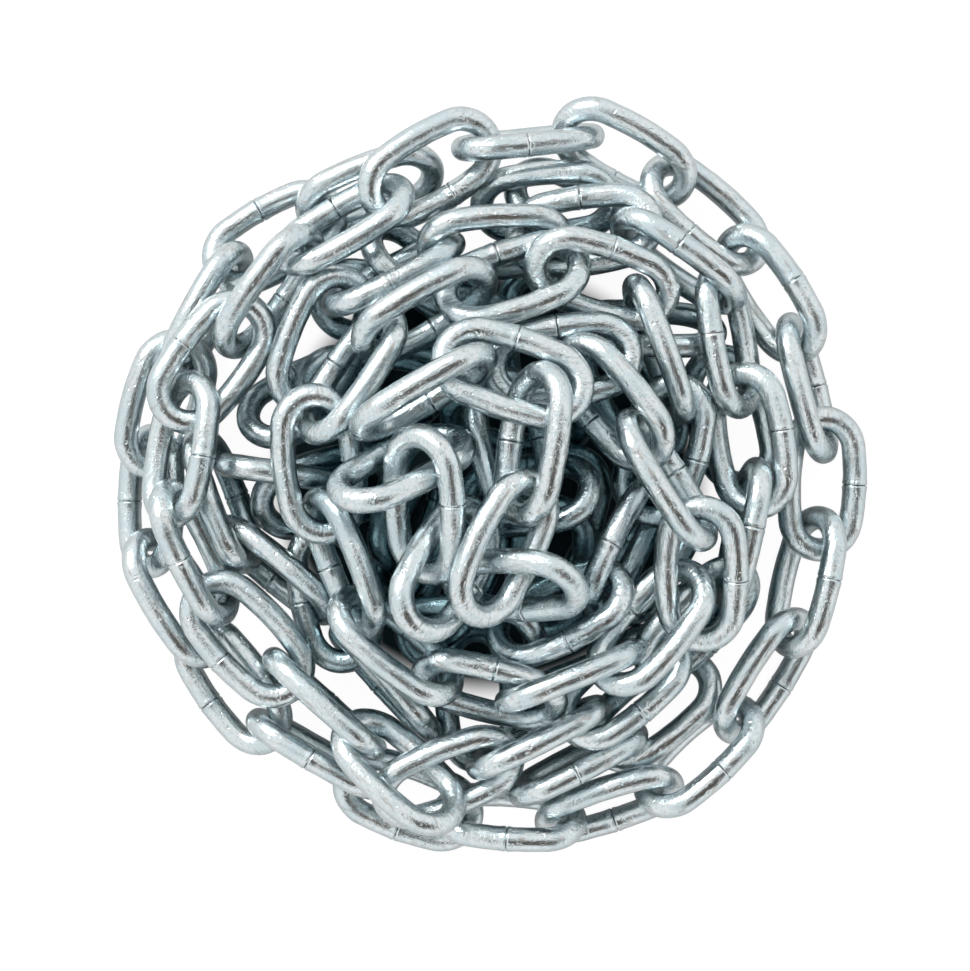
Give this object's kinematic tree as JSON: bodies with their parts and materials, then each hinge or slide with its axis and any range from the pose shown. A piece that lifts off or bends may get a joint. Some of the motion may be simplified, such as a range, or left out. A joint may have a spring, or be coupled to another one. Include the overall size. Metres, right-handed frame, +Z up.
{
  "type": "heap of steel chain",
  "caption": "Low round heap of bright welded short-link steel chain, laid in a spiral on a level floor.",
  "frame": {"origin": "middle of the heap's bounding box, on the floor", "axes": "+Z up, out of the floor; +X towards the right of the picture, +Y towards its top"},
  "size_m": [0.1754, 0.1735, 0.0502],
  "materials": {
    "steel": "bright zinc plate, worn smooth, with fine scratches",
    "core": "plain dark, never seen"
  },
  "bodies": {
    "root": {"hidden_core": "core", "low_bottom_links_01_to_02": "steel", "low_front_link_01": "steel", "low_left_links_01_to_03": "steel", "low_middle_link_01": "steel", "low_right_links_01_to_03": "steel", "low_top_links_01_to_02": "steel", "outer_turn_link_05": "steel", "outer_turn_link_06": "steel", "outer_turn_link_09": "steel", "outer_turn_link_10": "steel", "outer_turn_link_11": "steel", "outer_turn_link_12": "steel", "outer_turn_link_13": "steel", "outer_turn_link_14": "steel", "outer_turn_link_15": "steel", "outer_turn_link_16": "steel", "outer_turn_link_17": "steel", "outer_turn_link_18": "steel", "outer_turn_link_19": "steel", "outer_turn_link_20": "steel", "outer_turn_links_01_to_02": "steel", "outer_turn_links_03_to_04": "steel", "outer_turn_links_07_to_08": "steel", "second_turn_link_01": "steel", "second_turn_link_02": "steel", "second_turn_link_03": "steel", "second_turn_link_04": "steel", "second_turn_link_07": "steel", "second_turn_link_10": "steel", "second_turn_link_11": "steel", "second_turn_link_12": "steel", "second_turn_link_15": "steel", "second_turn_link_18": "steel", "second_turn_link_21": "steel", "second_turn_links_05_to_06": "steel", "second_turn_links_08_to_09": "steel", "second_turn_links_13_to_14": "steel", "second_turn_links_16_to_17": "steel", "second_turn_links_19_to_20": "steel", "third_turn_link_03": "steel", "third_turn_link_04": "steel", "third_turn_link_05": "steel", "third_turn_link_06": "steel", "third_turn_link_07": "steel", "third_turn_link_10": "steel", "third_turn_link_11": "steel", "third_turn_link_12": "steel", "third_turn_link_13": "steel", "third_turn_link_14": "steel", "third_turn_links_01_to_02": "steel", "third_turn_links_08_to_09": "steel", "third_turn_links_15_to_16": "steel", "top_turn_link_01": "steel", "top_turn_link_02": "steel", "top_turn_link_03": "steel", "top_turn_link_04": "steel", "top_turn_link_07": "steel", "top_turn_link_08": "steel", "top_turn_links_05_to_06": "steel"}
  },
  "joints": []
}
